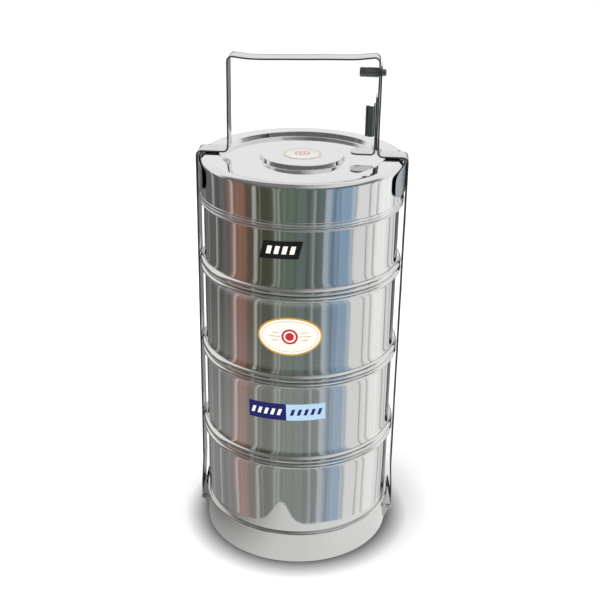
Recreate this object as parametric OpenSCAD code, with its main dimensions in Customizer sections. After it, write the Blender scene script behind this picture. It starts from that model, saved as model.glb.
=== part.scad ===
// Four-tier stainless steel tiffin carrier. Millimetres, +Z up.
// Origin: centre of the base, on the table. +X is towards the clasp side, -Y is the labelled front.

/* [Containers] */
// Outside radius of the plain container wall
wall_r = 72.5; // [60:0.5:80]
// Sheet thickness of containers, lid and base ring
sheet_t = 0.8; // [0.6:0.1:1.2]
// Height from one container seat to the next
tier_pitch = 68.25; // [55:0.25:80]
// Height of the lowest seat, where the second container rests
first_seat_z = 90; // [80:0.5:100]
// How far each upper container reaches down into the one below
nest_depth = 5; // [4:0.5:8]
// How far the joint beads stand out from the wall
bead_depth = 3.1; // [2:0.1:3.3]
// Height of the bead above each seat
upper_bead_h = 6; // [4:0.5:8]
// Height of the rolled rim below each seat
rim_bead_h = 4.6; // [3:0.2:6]

/* [Base] */
// Height of the base ring
base_h = 27.2; // [20:0.2:32]
// Outside radius of the base ring
base_r = 73.5; // [73.4:0.1:74]
// Height of the lowest container's bottom above the table
floor_z = 14; // [10:0.5:18]

/* [Lid] */
// Top of the lid's outer ring
lid_top_z = 309; // [306:0.5:309]
// Outside radius of the lid's wall
lid_r = 75; // [74.8:0.1:75.2]
// Height of the lid's lower edge, where it sits on the top container's stop bead
lid_seat_z = 277.4; // [274:0.2:280]
// Radius of the rounded edge of the lid
lid_edge_r = 5; // [2:0.5:6]
// Inside radius of the lid's flat outer ring
ring_in_r = 60; // [56:0.5:64]
// Radius of the raised disc in the middle of the lid
disc_r = 30; // [26:0.5:34]
// Depth of the channel between ring and disc
channel_depth = 3.8; // [3:0.2:5]

/* [Carrier frame] */
// Width of the steel strip
strip_w = 16; // [14:0.5:18]
// Thickness of the steel strip
strip_t = 1.2; // [1:0.1:1.3]
// Distance from the axis to the middle of each side strip
side_x = 76.7; // [76.7:0.1:77.2]
// Height of the middle of the shoulders, where the strips cross over the lid
shoulder_z = 310.2; // [310.2:0.1:312]
// Height of the middle of the grip's corners
grip_z = 381; // [370:1:395]
// How far the middle of the grip sags below its corners
grip_sag = 2; // [0:0.5:4]
// Distance from the axis to the middle of the handle legs
leg_x = 53.6; // [50:0.2:56]
// Inside radius of the bends
bend_r = 3; // [2:0.5:5]
// Height of the clasp leg's free end
clasp_top_z = 375.5; // [373:0.5:377]
// Half the width of each guide plate
guide_half_w = 35; // [28:0.5:38]
// Lowest point of each guide plate
guide_low_z = 285.8; // [280:0.2:290]

/* [Hinges and lock] */
// Height of the hinge pins
hinge_z = 13; // [12:0.5:15]
// Distance from the axis to each hinge pin
hinge_x = 76.2; // [76.2:0.1:77]
// Radius of the hinge pins
hinge_pin_r = 1.2; // [1:0.05:1.2]
// Height of the lock pin
lock_z = 369.5; // [366:0.5:370]
// Radius of the lock pin
lock_pin_r = 2.5; // [2:0.1:3]
// Radius of the lock pin's knob
knob_r = 3.5; // [3.2:0.1:5]
// Length of the knob
knob_len = 13.5; // [10:0.5:18]
// Height of the latch plate's upper end
latch_top_z = 353.5; // [345:0.5:357]
// How far the latch tongue reaches towards the axis
tongue_reach = 17.5; // [12:0.5:22]

/* [Labels] */
// Thickness of the paper labels
label_t = 0.15; // [0.1:0.05:0.2]
// Radius of the round label on the lid
lid_label_r = 14.4; // [10:0.2:18]
// Width of the small size label
size_label_w = 28; // [20:1:32]
// Width of the oval badge label
badge_w = 47; // [40:1:50]
// Width of the long two-tone label
long_label_w = 58; // [50:1:62]
// How far the labels are turned round the wall from the middle of the front
label_turn = -3; // [-20:1:20]

/* [Hidden] */
$fn = 96;

fit_gap = 0.05;
press_gap = 0.02;
seat = [for (i = [0:2]) first_seat_z + i * tier_pitch];
inner_r = wall_r - sheet_t;
bead_r = wall_r + bead_depth;
nest_gap = 0.5;
nest_r = inner_r - nest_gap;
floor_round = 4;
top_rim_z = seat[2] + tier_pitch;
top_rim_depth = 1.5;
top_rim_h = 3;
stop_bead_h = 2.8;
stop_bead_depth = 2.7;
lid_hem_h = 4.3;
lid_hem_depth = 0.4;
lid_inner_r = lid_r - sheet_t;
riser_run = 1.2;
disc_drop = 0.3;
base_bead_h = 2.8;
base_bead_depth = 0.8;
base_foot_h = 1.2;
base_foot_w = 2;
base_chamfer = 0.5;
strip_half = strip_t / 2;
eye_bore_r = hinge_pin_r + fit_gap;
eye_r = eye_bore_r + strip_t;
eye_tuck = 0.1;
eye_strip_x = hinge_x + eye_bore_r + strip_half - eye_tuck;
jog_low_z = 26;
jog_high_z = 50;
jog_r = 40;
corner_r = bend_r + strip_half;
leg_gap = 0.15;
clasp_leg_x = leg_x + strip_t + leg_gap;
latch_x = leg_x - strip_t - fit_gap;
latch_round = 3;
tongue_rise = 1.6;
tongue_z = shoulder_z + tongue_rise;
tongue_tip_x = latch_x - tongue_reach;
tongue_tip_r = 6;
grip_flat_half = 38;
handle_end_z = 316;
guide_t = 0.5;
guide_out_r = side_x - strip_half - fit_gap;
guide_drop = 1.4;
guide_high_z = shoulder_z - guide_drop;
guide_power = 4;
relief_gap = 0.2;
relief_z = shoulder_z - corner_r - relief_gap;
ear_t = 1.1;
ear_gap = 0.3;
ear_y = strip_w / 2 + ear_gap;
ear_margin = 0.25;
ear_r = eye_r + ear_margin;
ear_root = 0.35;
ear_inset = 0.2;
ear_waist = 1.2;
ear_waist_h = 8;
ear_tip_in = 0.9;
ear_tip_out = 1.8;
ear_tip_h = 4;
ear_tip_z = base_h + ear_tip_h;
lug_margin = 0.9;
lug_half_w = ear_y + ear_t + lug_margin;
lug_low_z = 3;
lug_top_gap = 0.2;
lug_high_z = base_h - base_bead_h - lug_top_gap;
lug_window_margin = 1.6;
lug_window_z = hinge_z + ear_r + lug_window_margin;
lug_window_depth = 6;
lug_t = 0.8;
pin_head_r = hinge_pin_r + 0.7;
pin_head_t = 0.7;
pin_end = 0.2;
lock_tip = 2.8;
lock_out_x = clasp_leg_x + strip_half + lock_tip;
lock_chamfer = 0.5;
socket_depth = 6;
socket_x = leg_x - strip_half - socket_depth;
lock_slot_rise = 0.9;
tab_low_z = 325;
tab_high_z = 347;
tab_reach = 5.2;
tab_roll_r = 1.7;
tab_roll_bore = 0.6;
tab_roll_tuck = 0.15;
tab_root_share = 0.7;
bore_reach = 4;
size_label_h = 13;
size_label_slant = 3.6;
badge_h = 30;
long_label_h = 13.4;
front_angle = -90;
size_label_turn = -4;
badge_turn = 1.5;
badge_rise = 0.54;
long_label_rise = 0.635;
label_tilt = 2;

// Points along a circular arc in the drawing plane.
function arc_points(cx, cy, r, a0, a1, steps) =
    [for (i = [0:steps]) let (a = a0 + (a1 - a0) * i / steps) [cx + r * cos(a), cy + r * sin(a)]];

// Half-ellipse standing out from a wall of radius r, from z_low up to z_high.
function bead_points(r, depth, z_low, z_high, steps = 12) =
    [for (i = [0:steps]) let (a = -90 + 180 * i / steps)
        [r + depth * cos(a), (z_low + z_high) / 2 + (z_high - z_low) / 2 * sin(a)]];

function reversed(list) = [for (i = [len(list) - 1:-1:0]) list[i]];
function unit(v) = v / norm(v);
function left_of(v) = [-v[1], v[0]];

// One side of a strip that follows a path of [x, z, bend radius] corners, at a signed offset.
function strip_side(path, offset_d, steps = 8) = [
    for (i = [0:len(path) - 1])
        let (
            p = [path[i][0], path[i][1]],
            before = i == 0 ? undef : unit(p - [path[i - 1][0], path[i - 1][1]]),
            after = i == len(path) - 1 ? undef : unit([path[i + 1][0], path[i + 1][1]] - p),
            along = is_undef(before) ? after : before
        )
        each (is_undef(before) || is_undef(after)
            ? [p + offset_d * left_of(along)]
            : bend_side(p, before, after, path[i][2], offset_d, steps))
];

function bend_side(p, before, after, r, offset_d, steps) =
    let (
        turn = atan2(before[0] * after[1] - before[1] * after[0], before * after),
        side = sign(turn),
        back = r * tan(abs(turn) / 2),
        centre = p - before * back + side * r * left_of(before),
        start = atan2(-side * left_of(before)[1], -side * left_of(before)[0])
    )
    arc_points(centre[0], centre[1], r - side * offset_d, start, start + turn, steps);

function strip_outline(path) =
    concat(strip_side(path, strip_half), reversed(strip_side(path, -strip_half)));

// Outline of a guide plate: a rounded plate, flatter than an ellipse.
function guide_outline(steps = 48) =
    let (mid = (guide_high_z + guide_low_z) / 2, half_h = (guide_high_z - guide_low_z) / 2)
    [for (i = [0:steps - 1]) let (a = 360 * i / steps, c = cos(a), s = sin(a))
        [guide_half_w * sign(c) * pow(abs(c), 2 / guide_power),
         mid + half_h * sign(s) * pow(abs(s), 2 / guide_power)]];

// Draws a shape given in X and Z as a strip of the given width, centred on Y.
module across(width) {
    translate([0, width / 2, 0])
        rotate([90, 0, 0])
            linear_extrude(width) children();
}

module cross_bore(x, z, r, length) {
    translate([x, 0, z])
        rotate([90, 0, 0])
            cylinder(r = r, h = length, center = true);
}

module side_bore(x, z, r, length) {
    translate([x, 0, z])
        rotate([0, 90, 0])
            cylinder(r = r, h = length, center = true);
}

module tube(r_out, r_in, z_low, z_high) {
    translate([0, 0, z_low])
        difference() {
            cylinder(r = r_out, h = z_high - z_low);
            translate([0, 0, -1]) cylinder(r = r_in, h = z_high - z_low + 2);
        }
}

// Upper containers share one section: nesting bottom, bead over the seat, wall, and a top of choice.
function bottom_outside(z) = concat(
    [[0, z - nest_depth]],
    arc_points(nest_r - floor_round, z - nest_depth + floor_round, floor_round, -90, 0, 6),
    [[nest_r, z + fit_gap]],
    bead_points(wall_r, bead_depth, z + fit_gap, z + upper_bead_h)
);

function bottom_inside(z) = concat(
    reversed(bead_points(inner_r, bead_depth, z + sheet_t + fit_gap, z + upper_bead_h - sheet_t)),
    [[nest_r - sheet_t, z + sheet_t + fit_gap]],
    arc_points(nest_r - floor_round, z - nest_depth + floor_round, floor_round - sheet_t, 0, -90, 6),
    [[0, z - nest_depth + sheet_t]]
);

function rim_outside(z) = concat(bead_points(wall_r, bead_depth, z - rim_bead_h, z), [[inner_r, z]]);
function rim_inside(z) = [[inner_r, z - rim_bead_h]];

module middle_tier(index) {
    rotate_extrude()
        polygon(concat(
            bottom_outside(seat[index]),
            rim_outside(seat[index + 1]),
            rim_inside(seat[index + 1]),
            bottom_inside(seat[index])
        ));
}

module tier_1_bowl() {
    color("gainsboro")
        rotate_extrude()
            polygon(concat(
                [[0, floor_z]],
                arc_points(wall_r - floor_round, floor_z + floor_round, floor_round, -90, 0, 6),
                rim_outside(seat[0]),
                rim_inside(seat[0]),
                arc_points(wall_r - floor_round, floor_z + floor_round, floor_round - sheet_t, 0, -90, 6),
                [[0, floor_z + sheet_t]]
            ));
}

module tier_2_bowl() {
    color("gainsboro") middle_tier(0);
}

module tier_3_bowl() {
    color("gainsboro") middle_tier(1);
}

// The top container has a stop bead for the lid below a plain neck with a small rolled rim.
module tier_4_bowl() {
    color("gainsboro")
        rotate_extrude()
            polygon(concat(
                bottom_outside(seat[2]),
                bead_points(wall_r, stop_bead_depth, lid_seat_z - stop_bead_h, lid_seat_z),
                bead_points(wall_r, top_rim_depth, top_rim_z - top_rim_h, top_rim_z),
                [[inner_r, top_rim_z]],
                bottom_inside(seat[2])
            ));
}

module base_ring() {
    color("silver")
        rotate_extrude()
            polygon(concat(
                [[base_r - base_foot_w, 0], [base_r - base_chamfer, 0], [base_r, base_chamfer]],
                bead_points(base_r, base_bead_depth, base_h - base_bead_h, base_h),
                [[wall_r + fit_gap, base_h], [wall_r + fit_gap, base_foot_h]],
                [[base_r - base_foot_w, base_foot_h]]
            ));
}

module lid() {
    under = lid_top_z - sheet_t;
    channel_z = lid_top_z - channel_depth;
    disc_z = lid_top_z - disc_drop;
    color("whitesmoke")
        rotate_extrude()
            polygon(concat(
                bead_points(lid_r, lid_hem_depth, lid_seat_z + fit_gap, lid_seat_z + lid_hem_h),
                arc_points(lid_r - lid_edge_r, lid_top_z - lid_edge_r, lid_edge_r, 0, 90, 8),
                [
                    [ring_in_r, lid_top_z], [ring_in_r - riser_run, channel_z],
                    [disc_r + riser_run, channel_z], [disc_r, disc_z], [0, disc_z],
                    [0, disc_z - sheet_t], [disc_r - sheet_t / 2, disc_z - sheet_t],
                    [disc_r + riser_run - sheet_t / 2, channel_z - sheet_t],
                    [ring_in_r - riser_run + sheet_t / 2, channel_z - sheet_t],
                    [ring_in_r + sheet_t / 2, under]
                ],
                arc_points(lid_r - lid_edge_r, lid_top_z - lid_edge_r, lid_edge_r - sheet_t, 90, 0, 8),
                [[lid_inner_r, lid_seat_z + fit_gap]]
            ));
}

// Two ears on a plate that is welded to the base ring. The plate is open behind the strip's eye.
module lug() {
    color("silver") {
        difference() {
            union() {
                intersection() {
                    tube(base_r + fit_gap + lug_t, base_r + fit_gap, lug_low_z, lug_high_z);
                    translate([0, -lug_half_w, 0]) cube([base_r * 2, lug_half_w * 2, base_h]);
                }
                for (y = [-ear_y - ear_t, ear_y])
                    translate([0, y + ear_t, 0])
                        rotate([90, 0, 0])
                            linear_extrude(ear_t) ear_outline();
            }
            translate([base_r - lug_window_depth, -ear_y, 0])
                cube([2 * lug_window_depth, ear_y * 2, lug_window_z]);
            cross_bore(hinge_x, hinge_z, hinge_pin_r + press_gap, 4 * strip_w);
        }
    }
}

module ear_outline() {
    polygon([
        [base_r + ear_root, lug_low_z], [hinge_x, hinge_z - ear_r + ear_inset],
        [hinge_x + ear_r - ear_inset, hinge_z], [hinge_x + ear_waist, hinge_z + ear_waist_h],
        [base_r + ear_tip_out, ear_tip_z], [base_r + ear_tip_in, ear_tip_z],
        [base_r + ear_tip_in, lug_high_z], [base_r + ear_root, lug_high_z]
    ]);
    translate([hinge_x, hinge_z]) circle(r = ear_r);
}

module right_lug() {
    lug();
}

module left_lug() {
    mirror([1, 0, 0]) lug();
}

module hinge_pin(x) {
    color("dimgray") {
        cross_bore(x, hinge_z, hinge_pin_r, 2 * (ear_y + ear_t + fit_gap) + pin_end);
        for (side = [-1, 1])
            translate([0, side * (ear_y + ear_t + fit_gap + pin_head_t / 2), 0])
                cross_bore(x, hinge_z, pin_head_r, pin_head_t);
    }
}

module right_hinge_pin() {
    hinge_pin(hinge_x);
}

module left_hinge_pin() {
    hinge_pin(-hinge_x);
}

// A strip that follows a path, with a rolled eye for the hinge pin at its lower end.
module hinged_strip(path, eye_x) {
    difference() {
        union() {
            across(strip_w) polygon(strip_outline(path));
            cross_bore(eye_x, hinge_z, eye_r, strip_w);
        }
        cross_bore(eye_x, hinge_z, eye_bore_r, strip_w + 2);
    }
}

module handle_strap() {
    path = [
        [-eye_strip_x, hinge_z],
        [-eye_strip_x, jog_low_z, jog_r],
        [-side_x, jog_high_z, jog_r],
        [-side_x, shoulder_z, corner_r],
        [-leg_x, shoulder_z, corner_r],
        [-leg_x, grip_z, corner_r],
        [-grip_flat_half, grip_z - grip_sag, 2 * grip_flat_half],
        [grip_flat_half, grip_z - grip_sag, 2 * grip_flat_half],
        [leg_x, grip_z, corner_r],
        [leg_x, handle_end_z]
    ];
    color("lightgray")
        difference() {
            hinged_strip(path, -hinge_x);
            side_bore(leg_x, lock_z, lock_pin_r + fit_gap, bore_reach);
        }
}

module clasp_strap() {
    path = [
        [eye_strip_x, hinge_z],
        [eye_strip_x, jog_low_z, jog_r],
        [side_x, jog_high_z, jog_r],
        [side_x, shoulder_z, corner_r],
        [clasp_leg_x, shoulder_z, corner_r],
        [clasp_leg_x, clasp_top_z]
    ];
    color("lightgray")
        difference() {
            hinged_strip(path, hinge_x);
            side_bore(clasp_leg_x, lock_z, lock_pin_r + fit_gap, bore_reach);
            side_bore(clasp_leg_x, lock_z + lock_slot_rise, lock_pin_r + fit_gap, bore_reach);
            translate([clasp_leg_x - bore_reach / 2, -lock_pin_r - fit_gap, lock_z])
                cube([bore_reach, 2 * (lock_pin_r + fit_gap), lock_slot_rise]);
        }
}

// Curved plate behind the strip, with a relief at the top where the strip bends over it.
module guide_plate() {
    color("lightsteelblue")
        difference() {
            intersection() {
                tube(guide_out_r, guide_out_r - guide_t, guide_low_z - 1, guide_high_z + 1);
                rotate([90, 0, 90]) linear_extrude(2 * wall_r) polygon(guide_outline());
            }
            translate([0, -strip_w / 2 - relief_gap, relief_z])
                cube([2 * wall_r, strip_w + 2 * relief_gap, strip_w]);
        }
}

module right_guide_plate() {
    guide_plate();
}

module left_guide_plate() {
    mirror([1, 0, 0]) guide_plate();
}

// Inner plate of the clasp side: it stands against the handle leg and turns in over the lid.
module latch_plate() {
    path = [[latch_x, latch_top_z], [latch_x, tongue_z, latch_round], [tongue_tip_x, tongue_z]];
    color("darkgray")
        intersection() {
            across(strip_w) polygon(strip_outline(path));
            union() {
                translate([tongue_tip_x + tongue_tip_r, -strip_w, 0])
                    cube([latch_x, strip_w * 2, latch_top_z + 1]);
                translate([tongue_tip_x, tongue_tip_r - strip_w / 2, 0])
                    cube([tongue_reach, strip_w - 2 * tongue_tip_r, latch_top_z]);
                for (side = [-1, 1])
                    translate([tongue_tip_x + tongue_tip_r, side * (strip_w / 2 - tongue_tip_r), 0])
                        cylinder(r = tongue_tip_r, h = latch_top_z);
            }
        }
}

// Flange with a rolled edge, for the thumb.
module thumb_tab() {
    root_x = latch_x - strip_half - fit_gap;
    roll_x = root_x - tab_reach;
    front_y = -strip_w / 2;
    color("gray")
        translate([0, 0, tab_low_z])
            linear_extrude(tab_high_z - tab_low_z)
                difference() {
                    union() {
                        translate([roll_x, front_y]) square([tab_reach, strip_t]);
                        translate([root_x - strip_t, front_y]) square([strip_t, strip_w * tab_root_share]);
                        translate([roll_x, front_y + tab_roll_r - tab_roll_tuck]) circle(r = tab_roll_r);
                    }
                    translate([roll_x, front_y + tab_roll_r - tab_roll_tuck]) circle(r = tab_roll_bore);
                }
}

module lock_pin() {
    length = lock_out_x - socket_x;
    color("dimgray")
        translate([socket_x, 0, lock_z])
            rotate([0, 90, 0]) {
                cylinder(r = lock_pin_r, h = length - lock_chamfer);
                translate([0, 0, length - lock_chamfer])
                    cylinder(r1 = lock_pin_r, r2 = lock_pin_r - lock_chamfer, h = lock_chamfer);
            }
}

module lock_knob() {
    outer_x = leg_x - strip_half - fit_gap;
    color("dimgray")
        difference() {
            translate([outer_x - knob_len, 0, lock_z])
                rotate([0, 90, 0]) cylinder(r = knob_r, h = knob_len);
            translate([socket_x - press_gap, 0, lock_z])
                rotate([0, 90, 0]) cylinder(r = lock_pin_r + press_gap, h = knob_len);
        }
}

module lid_label() {
    color("ivory")
        translate([0, 0, lid_top_z - disc_drop + press_gap])
            cylinder(r = lid_label_r, h = label_t);
}

// A paper label on the container wall, from a flat outline seen from the front.
module wall_label(angle, z) {
    intersection() {
        tube(wall_r + press_gap + label_t, wall_r + press_gap, z - tier_pitch / 2, z + tier_pitch / 2);
        rotate([0, 0, angle - front_angle])
            translate([0, 0, z])
                rotate([90, 0, 0])
                    linear_extrude(2 * wall_r)
                        rotate(label_tilt) children();
    }
}

module size_label() {
    half_w = size_label_w / 2;
    half_h = size_label_h / 2;
    color("black")
        wall_label(front_angle + label_turn + size_label_turn, seat[2] + tier_pitch / 2)
            polygon([
                [-half_w - size_label_slant / 2, -half_h], [half_w - size_label_slant / 2, -half_h],
                [half_w + size_label_slant / 2, half_h], [-half_w + size_label_slant / 2, half_h]
            ]);
}

module badge_label() {
    color("goldenrod")
        wall_label(front_angle + label_turn + badge_turn, seat[1] + tier_pitch * badge_rise)
            polygon([for (i = [0:47]) let (a = 360 * i / 48) [badge_w / 2 * cos(a), badge_h / 2 * sin(a)]]);
}

module long_label() {
    color("navy")
        wall_label(front_angle + label_turn, seat[0] + tier_pitch * long_label_rise)
            square([long_label_w, long_label_h], center = true);
}

base_ring();
tier_1_bowl();
tier_2_bowl();
tier_3_bowl();
tier_4_bowl();
lid();
left_lug();
right_lug();
left_hinge_pin();
right_hinge_pin();
handle_strap();
clasp_strap();
left_guide_plate();
right_guide_plate();
latch_plate();
thumb_tab();
lock_pin();
lock_knob();
lid_label();
size_label();
badge_label();
long_label();
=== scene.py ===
import math

import bmesh
import bpy
from mathutils import Matrix, Vector, noise


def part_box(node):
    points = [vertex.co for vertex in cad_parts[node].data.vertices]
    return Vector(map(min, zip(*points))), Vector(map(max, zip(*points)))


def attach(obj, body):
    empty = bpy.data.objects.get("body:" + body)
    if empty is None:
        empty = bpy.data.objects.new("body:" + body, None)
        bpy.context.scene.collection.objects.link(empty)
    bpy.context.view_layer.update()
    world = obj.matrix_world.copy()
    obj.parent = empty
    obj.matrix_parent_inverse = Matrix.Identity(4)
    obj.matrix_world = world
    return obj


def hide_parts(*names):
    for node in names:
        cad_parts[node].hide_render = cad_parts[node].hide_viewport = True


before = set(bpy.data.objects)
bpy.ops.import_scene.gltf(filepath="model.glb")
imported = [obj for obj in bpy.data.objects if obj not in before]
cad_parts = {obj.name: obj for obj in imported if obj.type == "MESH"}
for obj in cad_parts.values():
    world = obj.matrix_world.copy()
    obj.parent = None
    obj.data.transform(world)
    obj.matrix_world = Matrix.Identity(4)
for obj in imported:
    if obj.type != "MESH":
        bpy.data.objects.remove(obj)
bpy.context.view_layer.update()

MM = 0.001


# ---------------------------------------------------------------- sizes, from the frame where it has them
def low(node):
    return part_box(node)[0]


def high(node):
    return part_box(node)[1]


SHEET = 0.8 * MM
EDGE = 0.22 * MM
LATHE_STEPS = 320
WALL_R = 72.5 * MM
INNER_R = WALL_R - SHEET
BEAD_R = high("tier_2_bowl").x
SEAT = [high("tier_1_bowl").z, high("tier_2_bowl").z, high("tier_3_bowl").z]
NEST = SEAT[0] - low("tier_2_bowl").z
NEST_R = INNER_R - 0.5 * MM
FLOOR_ROUND = 4 * MM
UPPER_BEAD_H = 6 * MM
RIM_BEAD_H = 4.6 * MM
SEAT_GAP = 0.05 * MM

LID_R = 75 * MM
LID_TOP = high("lid").z
LID_SEAT = low("lid").z
LID_HEM_H = 4.3 * MM
LID_EDGE_R = 5 * MM
RING_IN_R = 60 * MM
DISC_R = 30 * MM
CHANNEL_DEPTH = 3.8 * MM
RISER_RUN = 1.2 * MM
DISC_DROP = 0.3 * MM

BASE_H = high("base_ring").z
BASE_R = 73.5 * MM

STRIP_W = high("handle_strap").y - low("handle_strap").y
STRIP_T = 1.2 * MM
STRIP_EDGE = 0.18 * MM
SIDE_X = 76.7 * MM
SHOULDER_Z = 310.2 * MM
LEG_X = 53.6 * MM
CLASP_LEG_X = LEG_X + STRIP_T + 0.15 * MM
CORNER_R = 3.6 * MM
GRIP_Z = high("handle_strap").z - STRIP_T / 2
GRIP_SAG = 2 * MM
GRIP_HALF = 38 * MM
GRIP_SKEW = 1.0 * MM
HANDLE_END_Z = 316 * MM
CLASP_TOP_Z = high("clasp_strap").z
JOG_LOW_Z = 26 * MM
JOG_HIGH_Z = 50 * MM
JOG_R = 40 * MM
HINGE_X = 76.2 * MM
HINGE_Z = 13 * MM
PIN_R = 1.2 * MM
EYE_MID_R = PIN_R + 0.05 * MM + STRIP_T / 2
LATCH_X = LEG_X - STRIP_T - 0.05 * MM
LATCH_TOP_Z = high("latch_plate").z
TONGUE_Z = low("latch_plate").z + STRIP_T / 2
TONGUE_TIP_X = low("latch_plate").x
LATCH_R = 3 * MM
LOCK_Z = 369.5 * MM
LOCK_R = 2.5 * MM
LOCK_GAP = 0.05 * MM
SLOT_RISE = 0.9 * MM
KNOB_R = 3.5 * MM
FREE_END_R = 2.5 * MM
TONGUE_END_R = 6 * MM
STRIP_WAVE = 0.06 * MM
GUIDE_T = 0.5 * MM
GUIDE_TOP_SHARE = 0.86
RELIEF_GAP = 0.2 * MM

# Labels in millimetres, and the bearings in degrees of their centres.
SIZE_W, SIZE_H, SIZE_SLANT = 28, 13, 3.6
BADGE_W, BADGE_H = 47, 30
LONG_W, LONG_H = 58, 13.4
SIZE_BEARING, BADGE_BEARING, LONG_BEARING = -97, -91.5, -93
LABEL_TILT = 2


def srgb(r, g, b):
    """A colour as the eye names it, in the linear values that shaders use."""
    def one(c):
        return c / 12.92 if c <= 0.04045 else ((c + 0.055) / 1.055) ** 2.4
    return (one(r), one(g), one(b), 1.0)


# ---------------------------------------------------------------- node helpers
class Nodes:
    """Short names for building a material's node tree."""

    def __init__(self, tree):
        self.tree = tree
        tree.nodes.clear()

    def add(self, kind, values=None, **settings):
        n = self.tree.nodes.new("ShaderNode" + kind)
        for k, v in settings.items():
            setattr(n, k, v)
        for k, v in (values or {}).items():
            if isinstance(v, bpy.types.NodeSocket):
                self.tree.links.new(v, n.inputs[k])
            else:
                n.inputs[k].default_value = v
        return n

    def math(self, op, a, b=0.0, clamp=False):
        return self.add("Math", {0: a, 1: b}, operation=op, use_clamp=clamp).outputs[0]

    def mix(self, factor, a, b):
        n = self.add("Mix", data_type="RGBA")
        for socket, v in ((0, factor), (6, a), (7, b)):
            if isinstance(v, bpy.types.NodeSocket):
                self.tree.links.new(v, n.inputs[socket])
            else:
                n.inputs[socket].default_value = v
        return n.outputs[2]

    def ramp(self, factor, stops, interpolation="LINEAR"):
        n = self.add("ValToRGB", {0: factor})
        n.color_ramp.interpolation = interpolation
        for i, (position, colour) in enumerate(stops):
            e = n.color_ramp.elements[i] if i < 2 else n.color_ramp.elements.new(position)
            e.position = position
            e.color = colour
        return n.outputs[0]

    def between(self, value, start, end, smooth=False):
        """0 at start and 1 at end, held flat outside."""
        kind = "SMOOTHSTEP" if smooth else "LINEAR"
        values = {"Value": value, "From Min": start, "From Max": end}
        return self.add("MapRange", values, clamp=True, interpolation_type=kind).outputs[0]

    def noise(self, vector, scale, detail=2.0, rough=0.5):
        values = {"Vector": vector, "Scale": scale, "Detail": detail, "Roughness": rough}
        return self.add("TexNoise", values).outputs[0]

    def stretched(self, vector, sx, sy, sz):
        return self.add("Mapping", {"Vector": vector, "Scale": (sx, sy, sz)}).outputs[0]

    def bump(self, height, strength, distance, normal=None):
        values = {"Height": height, "Strength": strength, "Distance": distance}
        if normal is not None:
            values["Normal"] = normal
        return self.add("Bump", values).outputs[0]


def new_material(name):
    m = bpy.data.materials.new(name)
    m.use_nodes = True
    return m, Nodes(m.node_tree)


def grey(v):
    return (v, v, v, 1.0)


# ---------------------------------------------------------------- materials
def polished_steel(name, tint, rough, ripple, spun):
    """Mirror-polished sheet: slow ripples from drawing, fine turning lines, soft smudges."""
    m, n = new_material(name)
    place = n.add("TexCoord").outputs["Object"]
    slow = n.noise(n.stretched(place, 9, 9, 5), 1.6, 1.0)
    fine = n.noise(n.stretched(place, 30, 30, 900), 1.0, 3.0)
    smudge = n.noise(place, 26, 4.0, 0.6)
    wipe = n.ramp(smudge, [(0.35, grey(0.0)), (0.75, grey(1.0))])
    roughness = n.math("ADD", rough, n.math("MULTIPLY", wipe, rough * 0.9))
    roughness = n.math("ADD", roughness, n.math("MULTIPLY", fine, rough * 0.5))
    colour = n.mix(n.math("MULTIPLY", wipe, 0.35), tint, tuple(c * 0.93 for c in tint[:3]) + (1,))
    normal = n.bump(slow, ripple, 0.004)
    normal = n.bump(fine, spun, 0.00008, normal)
    bsdf = n.add("BsdfPrincipled", {
        "Base Color": colour, "Metallic": 1.0, "Roughness": roughness, "Normal": normal,
        "Anisotropic": 0.5, "Tangent": n.add("Tangent", direction_type="RADIAL", axis="Z").outputs[0],
    })
    n.add("OutputMaterial", {"Surface": bsdf.outputs[0]})
    return m


def strip_steel(name, tint, rough):
    """Rolled strip: fine lines along its length, small scuffs."""
    m, n = new_material(name)
    place = n.add("TexCoord").outputs["Object"]
    lines = n.noise(n.stretched(place, 60, 1400, 60), 1.0, 3.0)
    scuff = n.noise(place, 90, 5.0, 0.65)
    marks = n.ramp(scuff, [(0.52, grey(0.0)), (0.72, grey(1.0))])
    roughness = n.math("ADD", rough, n.math("MULTIPLY", marks, 0.12))
    colour = n.mix(n.math("MULTIPLY", marks, 0.4), tint, tuple(c * 0.8 for c in tint[:3]) + (1,))
    normal = n.bump(lines, 0.25, 0.00006)
    normal = n.bump(n.noise(place, 40, 1.0), 0.12, 0.002, normal)
    bsdf = n.add("BsdfPrincipled", {
        "Base Color": colour, "Metallic": 1.0, "Roughness": roughness, "Normal": normal,
    })
    n.add("OutputMaterial", {"Surface": bsdf.outputs[0]})
    return m


def sheared_edge(name, tint):
    """Cut edge of the strip: dull and torn, with burnished streaks."""
    m, n = new_material(name)
    place = n.add("TexCoord").outputs["Object"]
    grain = n.noise(n.stretched(place, 500, 500, 120), 1.0, 4.0, 0.7)
    colour = n.ramp(grain, [(0.3, tint), (0.75, tuple(c * 2.1 for c in tint[:3]) + (1,))])
    bsdf = n.add("BsdfPrincipled", {
        "Base Color": colour, "Metallic": 0.85, "Roughness": 0.48,
        "Normal": n.bump(grain, 0.5, 0.0001),
    })
    n.add("OutputMaterial", {"Surface": bsdf.outputs[0]})
    return m


def turned_steel(name, tint, axis):
    """Pins and knob: fine lathe rings across the given axis."""
    m, n = new_material(name)
    place = n.add("TexCoord").outputs["Object"]
    scale = [60, 60, 60]
    scale[axis] = 3200
    rings = n.noise(n.stretched(place, *scale), 1.0, 2.0)
    wear = n.noise(place, 220, 4.0)
    colour = n.ramp(wear, [(0.3, tint), (0.8, tuple(min(1, c * 1.5) for c in tint[:3]) + (1,))])
    bsdf = n.add("BsdfPrincipled", {
        "Base Color": colour, "Metallic": 1.0, "Normal": n.bump(rings, 0.35, 0.00008),
        "Roughness": n.math("ADD", 0.2, n.math("MULTIPLY", wear, 0.15)),
    })
    n.add("OutputMaterial", {"Surface": bsdf.outputs[0]})
    return m


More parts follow.
